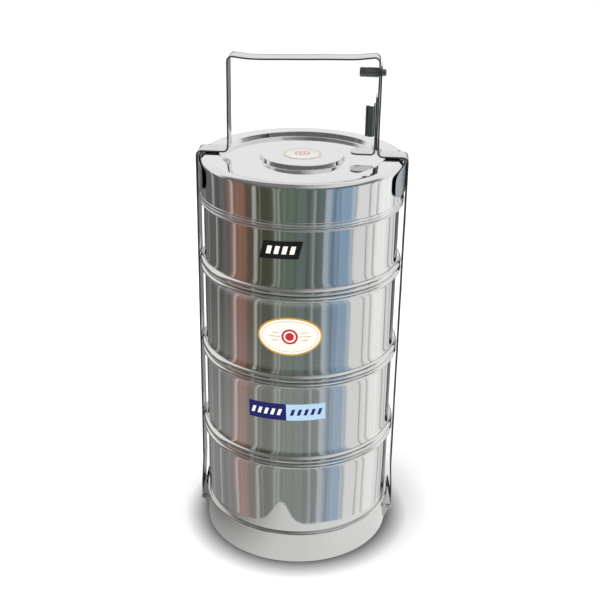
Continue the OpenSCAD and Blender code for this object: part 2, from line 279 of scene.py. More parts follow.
class Print(Nodes):
    """A label's printed design, drawn in millimetres from the label's centre."""

    def __init__(self, name, ground):
        self.material, _ = new_material(name)
        super().__init__(self.material.node_tree)
        uv = self.add("UVMap", uv_map="label_mm").outputs[0]
        split = self.add("SeparateXYZ", {0: uv})
        self.u, self.v = split.outputs[0], split.outputs[1]
        self.colour = ground

    def inside(self, value, limit, soft=0.12):
        return self.math("MULTIPLY", self.math("SUBTRACT", limit, value), 1 / soft, clamp=True)

    def far(self, socket, centre):
        return self.math("ABSOLUTE", self.math("SUBTRACT", socket, centre))

    def box(self, cu, cv, half_u, half_v, lean=0.0):
        u = self.math("SUBTRACT", self.u, self.math("MULTIPLY", self.v, lean)) if lean else self.u
        across = self.inside(self.far(u, cu), half_u)
        return self.math("MULTIPLY", across, self.inside(self.far(self.v, cv), half_v))

    def oval(self, ru, rv, cu=0.0, cv=0.0):
        du = self.math("DIVIDE", self.math("SUBTRACT", self.u, cu), ru)
        dv = self.math("DIVIDE", self.math("SUBTRACT", self.v, cv), rv)
        square = self.math("ADD", self.math("MULTIPLY", du, du), self.math("MULTIPLY", dv, dv))
        return self.inside(self.math("SQRT", square), 1.0, 0.12 / min(ru, rv))

    def paint(self, mask, colour):
        self.colour = self.mix(mask, self.colour, colour)

    def finish(self, gloss):
        place = self.add("TexCoord").outputs["Object"]
        fibre = self.noise(place, 900, 3.0)
        colour = self.mix(self.math("MULTIPLY", fibre, 0.05), self.colour, grey(0.3))
        bsdf = self.add("BsdfPrincipled", {
            "Base Color": colour, "Roughness": gloss, "Specular IOR Level": 0.15,
            "Normal": self.bump(self.noise(place, 120, 2.0), 0.15, 0.0006),
        })
        self.add("OutputMaterial", {"Surface": bsdf.outputs[0]})
        return self.material


GOLD = srgb(0.72, 0.55, 0.2)
CREAM = srgb(0.9, 0.89, 0.85)
PAPER = srgb(0.8, 0.8, 0.78)
RED = srgb(0.72, 0.12, 0.17)
NAVY = srgb(0.06, 0.08, 0.36)
PALE_BLUE = srgb(0.66, 0.77, 0.86)
INK = srgb(0.02, 0.025, 0.03)


def size_print():
    """Four plain pale blocks in a row on black."""
    p = Print("size_label_print", INK)
    for i in range(4):
        p.paint(p.box(-8.4 + 5.6 * i, 0, 1.7, 3.0, 0.28), CREAM)
    return p.finish(0.3)


def badge_print():
    """Gold rim, cream field, thin inner line, and a plain rosette between short dashes."""
    p = Print("badge_label_print", GOLD)
    for inset, colour in ((1.2, CREAM), (2.8, GOLD), (3.1, CREAM)):
        p.paint(p.oval(BADGE_W / 2 - inset, BADGE_H / 2 - inset), colour)
    for side in (-1, 1):
        p.paint(p.box(side * 11, 0, 4.2, 0.3), GOLD)
        for row in (-1, 1):
            p.paint(p.box(side * 10.5, row * 3, 2.4, 0.25), RED)
    for radius, colour in ((6.0, RED), (4.4, CREAM), (3.2, RED)):
        p.paint(p.oval(radius, radius), colour)
    return p.finish(0.3)


def long_print(half_w):
    """Navy half and pale half, each with a row of slanted dashes in the other's colour."""
    p = Print("long_label_print", NAVY)
    p.paint(p.box(half_w, 0, half_w, 20), PALE_BLUE)
    for i in range(5):
        step = 5.0 * i
        p.paint(p.box(-25 + step, 0, 1.3, 2.6, 0.35), CREAM)
        p.paint(p.box(4.8 + step, 0, 1.3, 2.6, 0.35), NAVY)
    return p.finish(0.3)


def lid_print(radius):
    """Pale disc with a gold ring and plain thin rings in the middle."""
    p = Print("lid_label_print", PAPER)
    border = ((radius - 1.0, GOLD), (radius - 1.7, PAPER))
    rings = border + ((5.4, RED), (4.6, PAPER), (2.6, RED), (1.8, PAPER))
    for reach, colour in rings:
        p.paint(p.oval(reach, reach), colour)
    return p.finish(0.35)


STEEL_WALL = polished_steel("polished_wall", (0.80, 0.80, 0.79, 1), 0.035, 0.12, 0.15)
STEEL_LID = polished_steel("polished_lid", (0.84, 0.85, 0.84, 1), 0.03, 0.05, 0.1)
STEEL_BASE = polished_steel("polished_base", (0.80, 0.80, 0.78, 1), 0.1, 0.15, 0.3)
STEEL_STRIP = strip_steel("strip_face", (0.72, 0.73, 0.73, 1), 0.14)
STEEL_EDGE = sheared_edge("strip_edge", (0.075, 0.078, 0.08, 1))
STEEL_PIN_Y = turned_steel("hinge_pin_steel", (0.3, 0.3, 0.3, 1), 1)
STEEL_PIN_X = turned_steel("lock_pin_steel", (0.24, 0.245, 0.25, 1), 0)
# The thumb tab is the same strip steel as the latch plate; its darker tint is painted shade.
STEEL_TAB = strip_steel("tab_face", (0.34, 0.345, 0.35, 1), 0.16)
# The two guide plates are one steel; the left one's warm tint and the right one's bluish tint are painted
# reflection.
STEEL_GUIDE_LEFT = strip_steel("guide_left", (0.46, 0.45, 0.40, 1), 0.2)
STEEL_GUIDE_RIGHT = strip_steel("guide_right", (0.45, 0.5, 0.55, 1), 0.2)
STEEL_LUG = strip_steel("lug_steel", (0.55, 0.55, 0.55, 1), 0.22)


# ---------------------------------------------------------------- mesh helpers
def add_object(name, bm, materials, body, slot, *nodes):
    mesh = bpy.data.meshes.new(name)
    bm.normal_update()
    bm.to_mesh(mesh)
    bm.free()
    for m in materials:
        mesh.materials.append(m)
    for p in mesh.polygons:
        p.use_smooth = True
    o = bpy.data.objects.new(name, mesh)
    bpy.context.scene.collection.objects.link(o)
    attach(o, body)
    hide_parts(*nodes)
    return o


def loose_object(name, bm):
    """A plain object that is no piece of the carrier: a cutter, or part of the stage."""
    mesh = bpy.data.meshes.new(name)
    bm.to_mesh(mesh)
    bm.free()
    o = bpy.data.objects.new(name, mesh)
    bpy.context.scene.collection.objects.link(o)
    return o


def arc(cx, cy, r, a0, a1, steps):
    turns = [math.radians(a0 + (a1 - a0) * i / steps) for i in range(steps + 1)]
    return [(cx + r * math.cos(a), cy + r * math.sin(a)) for a in turns]


def bead(r, depth, z_low, z_high, steps=20):
    """Half-ellipse standing out from a wall of radius r."""
    mid, half = (z_low + z_high) / 2, (z_high - z_low) / 2
    turns = [math.pi * (i / steps - 0.5) for i in range(steps + 1)]
    return [(r + depth * math.cos(a), mid + half * math.sin(a)) for a in turns]


def rounded(profile, r=EDGE, steps=4):
    """A closed outline with every sharp corner rounded and with support points beside the corners."""
    pts = []
    for p in profile:
        if not pts or (Vector(p) - pts[-1]).length > 1e-7:
            pts.append(Vector(p))
    out = []
    for i, p in enumerate(pts):
        a, b = pts[i - 1], pts[(i + 1) % len(pts)]
        if p.x < 1e-7:
            out.append(tuple(p))
            continue
        da, db = (a - p), (b - p)
        la, lb = da.length, db.length
        turn = math.pi - da.angle(db)
        if turn < math.radians(25):
            out.append(tuple(p))
            continue
        back = min(r, 0.3 * la, 0.3 * lb)
        da, db = da / la, db / lb
        support = min(2.2 * back, 0.45 * la)
        if la > 2.2 * support:
            out.append(tuple(p + da * support))
        for k in range(steps + 1):
            t = k / steps
            out.append(tuple(p + da * back * (1 - t) ** 2 + db * back * t ** 2))
        support = min(2.2 * back, 0.45 * lb)
        if lb > 2.2 * support:
            out.append(tuple(p + db * support))
    return out


def lathe(profile, steps=LATHE_STEPS):
    """Turns a closed (radius, height) outline round the Z axis."""
    bm = bmesh.new()
    rings = []
    for r, z in profile:
        if r < 1e-7:
            rings.append([bm.verts.new((0, 0, z))])
            continue
        turns = [2 * math.pi * k / steps for k in range(steps)]
        rings.append([bm.verts.new((r * math.cos(a), r * math.sin(a), z)) for a in turns])
    for i, ring in enumerate(rings):
        after = rings[(i + 1) % len(rings)]
        if len(ring) == 1 and len(after) == 1:
            continue
        for k in range(steps):
            j = (k + 1) % steps
            if len(ring) == 1:
                bm.faces.new((ring[0], after[j], after[k]))
            elif len(after) == 1:
                bm.faces.new((ring[k], ring[j], after[0]))
            else:
                bm.faces.new((ring[k], ring[j], after[j], after[k]))
    bmesh.ops.recalc_face_normals(bm, faces=bm.faces)
    return bm


# ---------------------------------------------------------------- containers, lid and base
def flare(z, direction, depth):
    """The wall curves out softly where it meets a bead at height z."""
    steps = [0.35, 0.8, 1.4, 2.1, 3.0, 4.2, 6.0]
    return [(WALL_R + depth * math.exp(-d / 1.5), z + direction * d * MM) for d in steps]


def nest_outside(z):
    bottom = z - NEST
    return (
        [(0, bottom)]
        + arc(NEST_R - FLOOR_ROUND, bottom + FLOOR_ROUND, FLOOR_ROUND, -90, 0, 8)
        + [(NEST_R, z + SEAT_GAP)]
        + bead(WALL_R, BEAD_R - WALL_R, z + SEAT_GAP, z + UPPER_BEAD_H)
        + flare(z + UPPER_BEAD_H, 1, 0.45 * MM)
    )


def nest_inside(z):
    bottom = z - NEST
    low_z, high_z = z + SHEET + SEAT_GAP, z + UPPER_BEAD_H - SHEET
    return (
        bead(INNER_R, BEAD_R - WALL_R, low_z, high_z)[::-1]
        + [(NEST_R - SHEET, low_z)]
        + arc(NEST_R - FLOOR_ROUND, bottom + FLOOR_ROUND, FLOOR_ROUND - SHEET, 0, -90, 8)
        + [(0, bottom + SHEET)]
    )


def rim(z):
    below = flare(z - RIM_BEAD_H, -1, 0.3 * MM)[::-1]
    roll = bead(WALL_R, BEAD_R - WALL_R, z - RIM_BEAD_H, z)
    return below + roll + [(INNER_R, z), (INNER_R, z - RIM_BEAD_H)]


def container(name, node, body, profile):
    return add_object(name, lathe(rounded(profile)), [STEEL_WALL], body, "polished_steel", node)


def build_containers():
    floor_z = low("tier_1_bowl").z
    bottom_r = WALL_R - FLOOR_ROUND
    container("bottom_container", "tier_1_bowl", "stack_base",
              [(0, floor_z)] + arc(bottom_r, floor_z + FLOOR_ROUND, FLOOR_ROUND, -90, 0, 8)
              + rim(SEAT[0])
              + arc(bottom_r, floor_z + FLOOR_ROUND, FLOOR_ROUND - SHEET, 0, -90, 8)
              + [(0, floor_z + SHEET)])
    for name, tier, k in (("second_container", "tier_2", 0), ("third_container", "tier_3", 1)):
        profile = nest_outside(SEAT[k]) + rim(SEAT[k + 1]) + nest_inside(SEAT[k])
        container(name, tier + "_bowl", tier, profile)
    top_z = high("tier_4_bowl").z
    container("top_container", "tier_4_bowl", "tier_4",
              nest_outside(SEAT[2])
              + bead(WALL_R, 2.7 * MM, LID_SEAT - SEAT_GAP - 2.8 * MM, LID_SEAT - SEAT_GAP)
              + bead(WALL_R, 1.5 * MM, top_z - 3 * MM, top_z)
              + [(INNER_R, top_z)] + nest_inside(SEAT[2]))


def build_lid():
    edge_r, edge_z = LID_R - LID_EDGE_R, LID_TOP - LID_EDGE_R
    channel_z, disc_z = LID_TOP - CHANNEL_DEPTH, LID_TOP - DISC_DROP
    hem_mid = LID_SEAT + 0.45 * LID_HEM_H
    hem_low = bead(LID_R, 0.4 * MM, LID_SEAT, hem_mid, 10)
    hem_high = bead(LID_R, 0.4 * MM, hem_mid, LID_SEAT + LID_HEM_H, 10)
    sag = 0.1 * MM
    profile = (
        hem_low + hem_high + arc(edge_r, edge_z, LID_EDGE_R, 0, 90, 12)
        + [(RING_IN_R, LID_TOP), (RING_IN_R - RISER_RUN, channel_z),
           (DISC_R + RISER_RUN, channel_z), (DISC_R, disc_z - sag), (0, disc_z),
           (0, disc_z - SHEET), (DISC_R - SHEET / 2, disc_z - sag - SHEET),
           (DISC_R + RISER_RUN - SHEET / 2, channel_z - SHEET),
           (RING_IN_R - RISER_RUN + SHEET / 2, channel_z - SHEET),
           (RING_IN_R + SHEET / 2, LID_TOP - SHEET)]
        + arc(edge_r, edge_z, LID_EDGE_R - SHEET, 90, 0, 10)
        + [(LID_R - SHEET, LID_SEAT)]
    )
    bm = lathe(rounded(profile, 0.55 * MM, 6))
    add_object("lid_cap", bm, [STEEL_LID], "lid", "polished_steel", "lid")


def build_base():
    foot_r = BASE_R - 2 * MM
    inside_r = WALL_R + SEAT_GAP
    profile = (
        [(foot_r, 0), (BASE_R - 0.6 * MM, 0), (BASE_R - 0.1 * MM, 0.35 * MM), (BASE_R, 1.0 * MM)]
        + bead(BASE_R, 0.8 * MM, BASE_H - 2.8 * MM, BASE_H)
        + [(inside_r, BASE_H), (inside_r, 1.2 * MM), (foot_r, 1.2 * MM)]
    )
    bm = lathe(rounded(profile))
    add_object("base_band", bm, [STEEL_BASE], "stack_base", "polished_steel", "base_ring")


# ---------------------------------------------------------------- strips
def bent_path(corners, step=6 * MM):
    """Centre line through [x, z, bend radius] corners: rounded bends and evenly divided straights."""
    pts = [Vector((c[0], c[1])) for c in corners]
    line = [pts[0]]
    for i in range(1, len(pts)):
        p = pts[i]
        if i == len(pts) - 1:
            bend = [p]
        else:
            before, after = (p - pts[i - 1]).normalized(), (pts[i + 1] - p).normalized()
            turn = before.angle(after)
            side = 1 if before.x * after.y - before.y * after.x > 0 else -1
            r = corners[i][2]
            back = r * math.tan(turn / 2)
            centre = p - before * back + Vector((-before.y, before.x)) * side * r
            start = p - before * back - centre
            count = max(3, int(math.degrees(turn) / 6))
            bend = [centre + Matrix.Rotation(side * turn * k / count, 2) @ start for k in range(count + 1)]
        gap = (bend[0] - line[-1]).length
        count = max(1, int(gap / step))
        line += [line[-1].lerp(bend[0], k / count) for k in range(1, count)]
        line += bend if gap > 1e-7 else bend[1:]
    return line


def section(half_w, half_t, r, steps=4):
    """Rounded-rectangle cross-section: (across the width, across the thickness)."""
    ring = []
    for sw, st, a0 in ((1, -1, -90), (1, 1, 0), (-1, 1, 90), (-1, -1, 180)):
        for k in range(steps + 1):
            a = math.radians(a0 + 90 * k / steps)
            ring.append((sw * (half_w - r) + r * math.cos(a), st * (half_t - r) + r * math.sin(a)))
    return ring


def sweep(line, half_w, half_t, r, place, narrow=None, wave=0.0):
    """Sweeps a rounded section along a flat line. place(x, z, y) gives the point in the row frame."""
    bm = bmesh.new()
    rings = []
    travelled = 0.0
    for i, p in enumerate(line):
        a, b = line[max(0, i - 1)], line[min(len(line) - 1, i + 1)]
        along = (b - a).normalized()
        across = Vector((-along.y, along.x))
        travelled += (p - a).length if i else 0.0
        w = half_w if narrow is None else narrow(p, half_w)
        ring = []
        for cw, ct in section(half_w, half_t, r):
            if abs(cw) > w:
                cw = math.copysign(w, cw)
            drift = wave * math.sin(travelled * 170 + 1.3) * math.cos(travelled * 61)
            q = p + across * (ct + drift)
            ring.append(bm.verts.new(place(q.x, q.y, cw)))
        rings.append(ring)
    count = len(rings[0])
    for lower, upper in zip(rings, rings[1:]):
        for k in range(count):
            j = (k + 1) % count
            bm.faces.new((lower[k], lower[j], upper[j], upper[k]))
    for ring in (rings[0], rings[-1]):
        bm.faces.new(ring)
    bmesh.ops.recalc_face_normals(bm, faces=bm.faces)
    return bm


def upright(x, z, y):
    return (x, y, z)


def mark_edges(bm, axis):
    """Faces that look along the given axis get the second material, the cut edge."""
    bm.normal_update()
    for f in bm.faces:
        if abs(f.normal[axis]) > 0.45:
            f.material_index = 1


def sharpen_flats(o, angle=40):
    mesh = o.data
    bm = bmesh.new()
    bm.from_mesh(mesh)
    for e in bm.edges:
        if len(e.link_faces) == 2 and e.calc_face_angle(0) > math.radians(angle):
            e.smooth = False
    bm.to_mesh(mesh)
    bm.free()


def eye_line(side):
    """The rolled end of a strip, round the hinge pin, up to where the strip leaves it."""
    turns = [math.radians(a) for a in range(-318, 1, 12)]
    return [Vector((side * (HINGE_X + EYE_MID_R * math.cos(a)), HINGE_Z + EYE_MID_R * math.sin(a)))
            for a in turns]


def arm_line(side, corners):
    """Rolled eye, then the strip up to its corners. side is -1 on the left and 1 on the right."""
    start_x = HINGE_X + EYE_MID_R
    path = [
        (side * start_x, HINGE_Z + 1 * MM, 0), (side * start_x, JOG_LOW_Z, JOG_R),
        (side * SIDE_X, JOG_HIGH_Z, JOG_R), (side * SIDE_X, SHOULDER_Z, CORNER_R),
    ]
    return eye_line(side) + bent_path(path + corners)


def corner_round(tip_x, tip_z, r):
    """Rounds a strip's free end: the width narrows within r of the tip."""
    tip = Vector((tip_x, tip_z))

    def narrow(p, half_w):
        d = (p - tip).length
        if d >= r:
            return half_w
        return half_w - r + math.sqrt(max(0.0, r * r - (r - d) ** 2))
    return narrow


def fine_tip(line, r, steps=14):
    """Divides the last stretch before a rounded free end finely."""
    end, back = line[-1], line[-2]
    along = (back - end).normalized()
    body = [p for p in line[:-1] if (p - end).length > r * 1.02]
    turns = [math.pi / 2 * k / steps for k in range(steps + 1)]
    return body + [end + along * (r * (1 - math.sin(a))) for a in turns]


def cylinder_cutter(x, z, r, rise=0.0):
    """A round or slotted hole along X."""
    bm = bmesh.new()
    outline = [(r * math.cos(a), r * math.sin(a) + (rise if math.sin(a) > 0 else 0.0))
               for a in [2 * math.pi * (k + 0.5) / 48 for k in range(48)]]
    ends = [[bm.verts.new((x + s * 4 * MM, y, z + h)) for y, h in outline] for s in (-1, 1)]
    for k in range(48):
        j = (k + 1) % 48
        bm.faces.new((ends[0][k], ends[0][j], ends[1][j], ends[1][k]))
    bm.faces.new(ends[0])
    bm.faces.new(ends[1])
    bmesh.ops.recalc_face_normals(bm, faces=bm.faces)
    return loose_object("cutter", bm)


def cut(o, cutter):
    """Cuts the hole into the mesh itself, so that no modifier is left."""
    m = o.modifiers.new("hole", "BOOLEAN")
    m.operation = "DIFFERENCE"
    m.solver = "EXACT"
    m.object = cutter
    graph = bpy.context.evaluated_depsgraph_get()
    done = bpy.data.meshes.new_from_object(o.evaluated_get(graph))
    o.modifiers.clear()
    o.data = done
    bpy.data.objects.remove(cutter)


def build_handle():
    line = arm_line(-1, [
        (-LEG_X, SHOULDER_Z, CORNER_R), (-LEG_X, GRIP_Z - GRIP_SKEW, CORNER_R),
        (-GRIP_HALF, GRIP_Z - GRIP_SAG - GRIP_SKEW, 2 * GRIP_HALF),
        (GRIP_HALF, GRIP_Z - GRIP_SAG + GRIP_SKEW, 2 * GRIP_HALF),
        (LEG_X, GRIP_Z + GRIP_SKEW, CORNER_R), (LEG_X, HANDLE_END_Z, 0),
    ])
    bm = sweep(line, STRIP_W / 2, STRIP_T / 2, STRIP_EDGE, upright, wave=STRIP_WAVE)
    mark_edges(bm, 1)
    steels = [STEEL_STRIP, STEEL_EDGE]
    o = add_object("handle_strip", bm, steels, "handle_arm", "strip_steel", "handle_strap")
    cut(o, cylinder_cutter(LEG_X, LOCK_Z, LOCK_R + LOCK_GAP))
    sharpen_flats(o)


def build_clasp():
    line = arm_line(1, [(CLASP_LEG_X, SHOULDER_Z, CORNER_R), (CLASP_LEG_X, CLASP_TOP_Z, 0)])
    line = fine_tip(line, FREE_END_R)
    bm = sweep(line, STRIP_W / 2, STRIP_T / 2, STRIP_EDGE, upright,
               corner_round(CLASP_LEG_X, CLASP_TOP_Z, FREE_END_R), STRIP_WAVE)
    mark_edges(bm, 1)
    o = add_object("clasp_strip", bm, [STEEL_STRIP, STEEL_EDGE], "clasp_arm", "strip_steel", "clasp_strap")
    cut(o, cylinder_cutter(CLASP_LEG_X, LOCK_Z, LOCK_R + LOCK_GAP, SLOT_RISE))
    sharpen_flats(o)


def build_latch():
    corners = [(LATCH_X, LATCH_TOP_Z, 0), (LATCH_X, TONGUE_Z, LATCH_R), (TONGUE_TIP_X, TONGUE_Z, 0)]
    line = bent_path(corners, 2 * MM)
    line = fine_tip(line, TONGUE_END_R, 18)
    line = fine_tip(line[::-1], FREE_END_R)[::-1]
    tongue = corner_round(TONGUE_TIP_X, TONGUE_Z, TONGUE_END_R)
    top = corner_round(LATCH_X, LATCH_TOP_Z, FREE_END_R)
    bm = sweep(line, STRIP_W / 2, STRIP_T / 2, STRIP_EDGE, upright,
               lambda p, w: min(tongue(p, w), top(p, w)))
    mark_edges(bm, 1)
    steels = [STEEL_STRIP, STEEL_EDGE]
    o = add_object("latch_tongue", bm, steels, "handle_arm", "strip_steel", "latch_plate")
    sharpen_flats(o)


def build_thumb_tab():
    """A flange bent inwards from the latch plate, with its free edge rolled into a grip."""
    lo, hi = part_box("thumb_tab")
    t = STRIP_T / 2
    front, root = lo.y + t, hi.x - t
    roll = 1.1 * MM
    roll_x = lo.x + roll + t
    curl = [Vector((roll_x + roll * math.cos(a), front + roll + roll * math.sin(a)))
            for a in [math.radians(d) for d in range(200, -91, -15)]]
    corners = [(roll_x + 0.6 * MM, front, 0), (root, front, 1.4 * MM), (root, hi.y - 0.2 * MM, 0)]
    base = bent_path(corners, 1 * MM)
    mid, half = (lo.z + hi.z) / 2, (hi.z - lo.z) / 2
    bm = sweep(curl + base, half, t * 0.9, STRIP_EDGE, lambda x, y, z: (x, y, mid + z))
    mark_edges(bm, 2)
    o = add_object("thumb_grip", bm, [STEEL_TAB, STEEL_EDGE], "handle_arm", "strip_steel", "thumb_tab")
    sharpen_flats(o)


def plate_outline(angle, half_w, half_h, power):
    c, s = math.cos(angle), math.sin(angle)
    flat = 2 / power
    return (half_w * math.copysign(abs(c) ** flat, c), half_h * math.copysign(abs(s) ** flat, s))


def build_guide(side, body, node, name, material):
    """Curved plate that hugs the lid's wall, with flared ends and a relief where the strip bends."""
    lo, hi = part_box(node)
    mid, half_h, half_w = (lo.z + hi.z) / 2, (hi.z - lo.z) / 2, hi.y
    outer_r = max(abs(lo.x), abs(hi.x))
    rings, spokes = 30, 160
    bm = bmesh.new()

    def point(k, i, r):
        u, v = plate_outline(2 * math.pi * i / spokes, half_w, half_h, 4)
        u, v = u * k, v * k
        v *= GUIDE_TOP_SHARE if v > 0 else 1.0
        flare = max(0.0, abs(u) / half_w - 0.45) / 0.55
        r += 0.9 * MM * flare * flare
        return bm.verts.new((side * math.sqrt(r * r - u * u), u, mid + v))
    shells = []
    for r in (outer_r, outer_r - GUIDE_T):
        centre = bm.verts.new((side * r, 0, mid))
        shell = [[point(j / rings, i, r) for i in range(spokes)] for j in range(1, rings)]
        inwards = 0.1 * MM if r == outer_r else -0.1 * MM
        shell.append([point(0.993, i, r - inwards) for i in range(spokes)])
        shells.append((centre, shell))
    for centre, shell in shells:
        for i in range(spokes):
            j = (i + 1) % spokes
            bm.faces.new((centre, shell[0][i], shell[0][j]))
            for a, b in zip(shell, shell[1:]):
                bm.faces.new((a[i], b[i], b[j], a[j]))
    middle = [point(1.0, i, outer_r - GUIDE_T / 2) for i in range(spokes)]
    for outer, inner in ((shells[0][1][-1], middle), (middle, shells[1][1][-1])):
        for i in range(spokes):
            j = (i + 1) % spokes
            bm.faces.new((outer[i], inner[i], inner[j], outer[j]))
    bmesh.ops.recalc_face_normals(bm, faces=bm.faces)
    o = add_object(name, bm, [material], body, "strip_steel", node)
    cut(o, box_cutter(side * SIDE_X, STRIP_W / 2 + RELIEF_GAP, SHOULDER_Z - CORNER_R - RELIEF_GAP))
    sharpen_flats(o, 50)


def box_cutter(x, half_w, z_low):
    """A block that removes everything above z_low within the strip's width."""
    bm = bmesh.new()
    bmesh.ops.create_cube(bm, size=1.0)
    size = Matrix.Diagonal((20 * MM, 2 * half_w, 10 * MM, 1))
    bmesh.ops.transform(bm, matrix=Matrix.Translation((x, 0, z_low + 5 * MM)) @ size, verts=bm.verts)
    return loose_object("cutter", bm)


# ---------------------------------------------------------------- pins and knob
def turned_along_x(name, profile, z, material, body, node):
    """A turned piece whose (radius, distance) outline runs along X at height z."""
    bm = lathe(rounded(profile, 0.25 * MM), 64)
    turn = Matrix.Rotation(math.pi / 2, 4, "Y")
    bmesh.ops.transform(bm, matrix=Matrix.Translation((0, 0, z)) @ turn, verts=bm.verts)
    o = add_object(name, bm, [material], body, "pin_steel", node)
    sharpen_flats(o, 50)
    return o


def build_lock():
    lo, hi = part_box("lock_knob")
    groove = 0.18 * MM
    knob = [(0, lo.x), (KNOB_R - 0.8 * MM, lo.x), (KNOB_R - 0.1 * MM, lo.x + 0.7 * MM)]
    for k in range(3):
        x = lo.x + (2.2 + 1.1 * k) * MM
        knob += [(KNOB_R, x), (KNOB_R - groove, x + 0.25 * MM)]
        knob += [(KNOB_R - groove, x + 0.5 * MM), (KNOB_R, x + 0.75 * MM)]
    knob += [(KNOB_R, hi.x - 0.5 * MM), (KNOB_R - 0.4 * MM, hi.x), (0, hi.x)]
    turned_along_x("lock_knob_turned", knob, LOCK_Z, STEEL_PIN_X, "lock", "lock_knob")
    lo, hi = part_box("lock_pin")
    start, tip = lo.x + 5 * MM, 0.6 * MM
    pin = [(0, start), (LOCK_R, start), (LOCK_R, hi.x - tip), (LOCK_R - tip, hi.x), (0, hi.x)]
    turned_along_x("lock_pin_turned", pin, LOCK_Z, STEEL_PIN_X, "lock", "lock_pin")


# ---------------------------------------------------------------- labels
def label_uv(bm, corner):
    layer = bm.loops.layers.uv.new("label_mm")
    for f in bm.faces:
        for loop in f.loops:
            loop[layer].uv = corner(loop.vert)


def wall_label(name, node, body, slot, angle, outline, material):
    """A thin label bent round the wall. outline(k, t) is in mm: k out from the centre, t round it."""
    lo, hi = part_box(node)
    mid_z = (lo.z + hi.z) / 2
    rings, spokes = 14, 240
    bm = bmesh.new()
    flat = {}
    ca, sa = math.cos(math.radians(LABEL_TILT)), math.sin(math.radians(LABEL_TILT))

    def point(k, i, r):
        u, v = outline(k, i / spokes)
        vert = bm.verts.new((0, 0, 0))
        flat[vert] = (u, v)
        a = math.radians(angle) + (u * ca - v * sa) * MM / WALL_R
        lift = 0.06 * MM * noise.noise(Vector((u * 0.12, v * 0.12, angle)))
        vert.co = ((r + lift) * math.cos(a), (r + lift) * math.sin(a), mid_z + (u * sa + v * ca) * MM)
        return vert
    top_r, under_r = WALL_R + 0.2 * MM, WALL_R + 0.06 * MM
    sides = []
    for r in (top_r, under_r):
        centre = point(0, 0, r)
        shell = [[point(j / rings, i, r) for i in range(spokes)] for j in range(1, rings + 1)]
        for i in range(spokes):
            j = (i + 1) % spokes
            bm.faces.new((centre, shell[0][i], shell[0][j]))
            for a, b in zip(shell, shell[1:]):
                bm.faces.new((a[i], b[i], b[j], a[j]))
        sides.append(shell[-1])
    for i in range(spokes):
        j = (i + 1) % spokes
        bm.faces.new((sides[0][i], sides[1][i], sides[1][j], sides[0][j]))
    bmesh.ops.recalc_face_normals(bm, faces=bm.faces)
    label_uv(bm, lambda v: flat[v])
    o = add_object(name, bm, [material], body, slot, node)
    sharpen_flats(o, 60)


def oval_outline(half_w, half_h):
    def outline(k, t):
        a = 2 * math.pi * t
        return (half_w * k * math.cos(a), half_h * k * math.sin(a))
    return outline


def slab_outline(half_w, half_h, slant=0.0):
    """Parallelogram walked at an even pace, side by side."""
    corners = [(1, -1), (1, 1), (-1, 1), (-1, -1)]

    def outline(k, t):
        side, share = int(4 * t) % 4, (4 * t) % 1.0
        (u0, v0), (u1, v1) = corners[side], corners[(side + 1) % 4]
        u, v = u0 + (u1 - u0) * share, v0 + (v1 - v0) * share
        return (k * (u * half_w + v * slant / 2), k * v * half_h)
    return outline


def build_labels():
    wall_label("size_sticker", "size_label", "tier_4", "size_paper", SIZE_BEARING,
               slab_outline(SIZE_W / 2, SIZE_H / 2, SIZE_SLANT), size_print())
    wall_label("badge_sticker", "badge_label", "tier_3", "badge_paper", BADGE_BEARING,
               oval_outline(BADGE_W / 2, BADGE_H / 2), badge_print())
    wall_label("long_sticker", "long_label", "tier_2", "long_paper", LONG_BEARING,
               slab_outline(LONG_W / 2, LONG_H / 2), long_print(LONG_W / 2))
    build_lid_label()


def build_lid_label():
    lo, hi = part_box("lid_label")
    r = (hi.x - lo.x) / 2
    across_top = [(r * (1 - k / 8), hi.z) for k in range(1, 8)]
    profile = [(0, lo.z), (r, lo.z), (r, hi.z)] + across_top + [(0, hi.z)]
    bm = lathe(rounded(profile, 0.04 * MM, 2), 160)
    label_uv(bm, lambda v: (v.co.x / MM, v.co.y / MM))
    o = add_object("lid_sticker", bm, [lid_print(r / MM)], "lid", "lid_paper", "lid_label")
    sharpen_flats(o, 60)


# ---------------------------------------------------------------- lugs and hinge pins keep their CAD shape
def dress_cad(node, material):
    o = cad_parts[node]
    o.data.materials.clear()
    o.data.materials.append(material)
    for p in o.data.polygons:
        p.use_smooth = False
    bevel = o.modifiers.new("soft_edges", "BEVEL")
    bevel.width = 0.12 * MM
    bevel.segments = 2
    bevel.limit_method = "ANGLE"
    bevel.angle_limit = math.radians(50)


def build_hinges():
    for node in ("left_lug", "right_lug"):
        dress_cad(node, STEEL_LUG)
    for node in ("left_hinge_pin", "right_hinge_pin"):
        dress_cad(node, STEEL_PIN_Y)


# ---------------------------------------------------------------- room, light and camera
CAMERA_AZIMUTH = 4.0
CAMERA_DISTANCE = 0.7615
CAMERA_HEIGHT = 0.5305
CAMERA_PITCH = 23.98
CAMERA_ROLL = 0.94
CAMERA_LENS = 64.7

# A made-up room for the polished walls to mirror: twelve equal bands going round. They start on the
# far side of the carrier and run past its left, the camera and its right.
GREY = srgb(0.5, 0.5, 0.5)
SHADE = srgb(0.4, 0.4, 0.4)
WOOD = srgb(0.55, 0.4, 0.35)
DARK = srgb(0.3, 0.3, 0.25)
MOSS = srgb(0.4, 0.45, 0.4)
SLATE = srgb(0.4, 0.45, 0.45)
BLUE = srgb(0.55, 0.65, 0.75)
PALE = srgb(0.9, 0.9, 0.9)
WINDOW = srgb(1.0, 1.0, 1.0)
ROOM = [GREY, SHADE, SHADE, WOOD, DARK, MOSS, SLATE, BLUE, PALE, WINDOW, PALE, GREY]
BAND_EDGE = 0.2
CEILING = srgb(0.95, 0.95, 0.95)
UPPER_ROOM = srgb(0.4, 0.4, 0.4)
HIGH_LEFT = srgb(0.5, 0.5, 0.5)
HIGH_RIGHT = srgb(0.9, 0.9, 0.9)


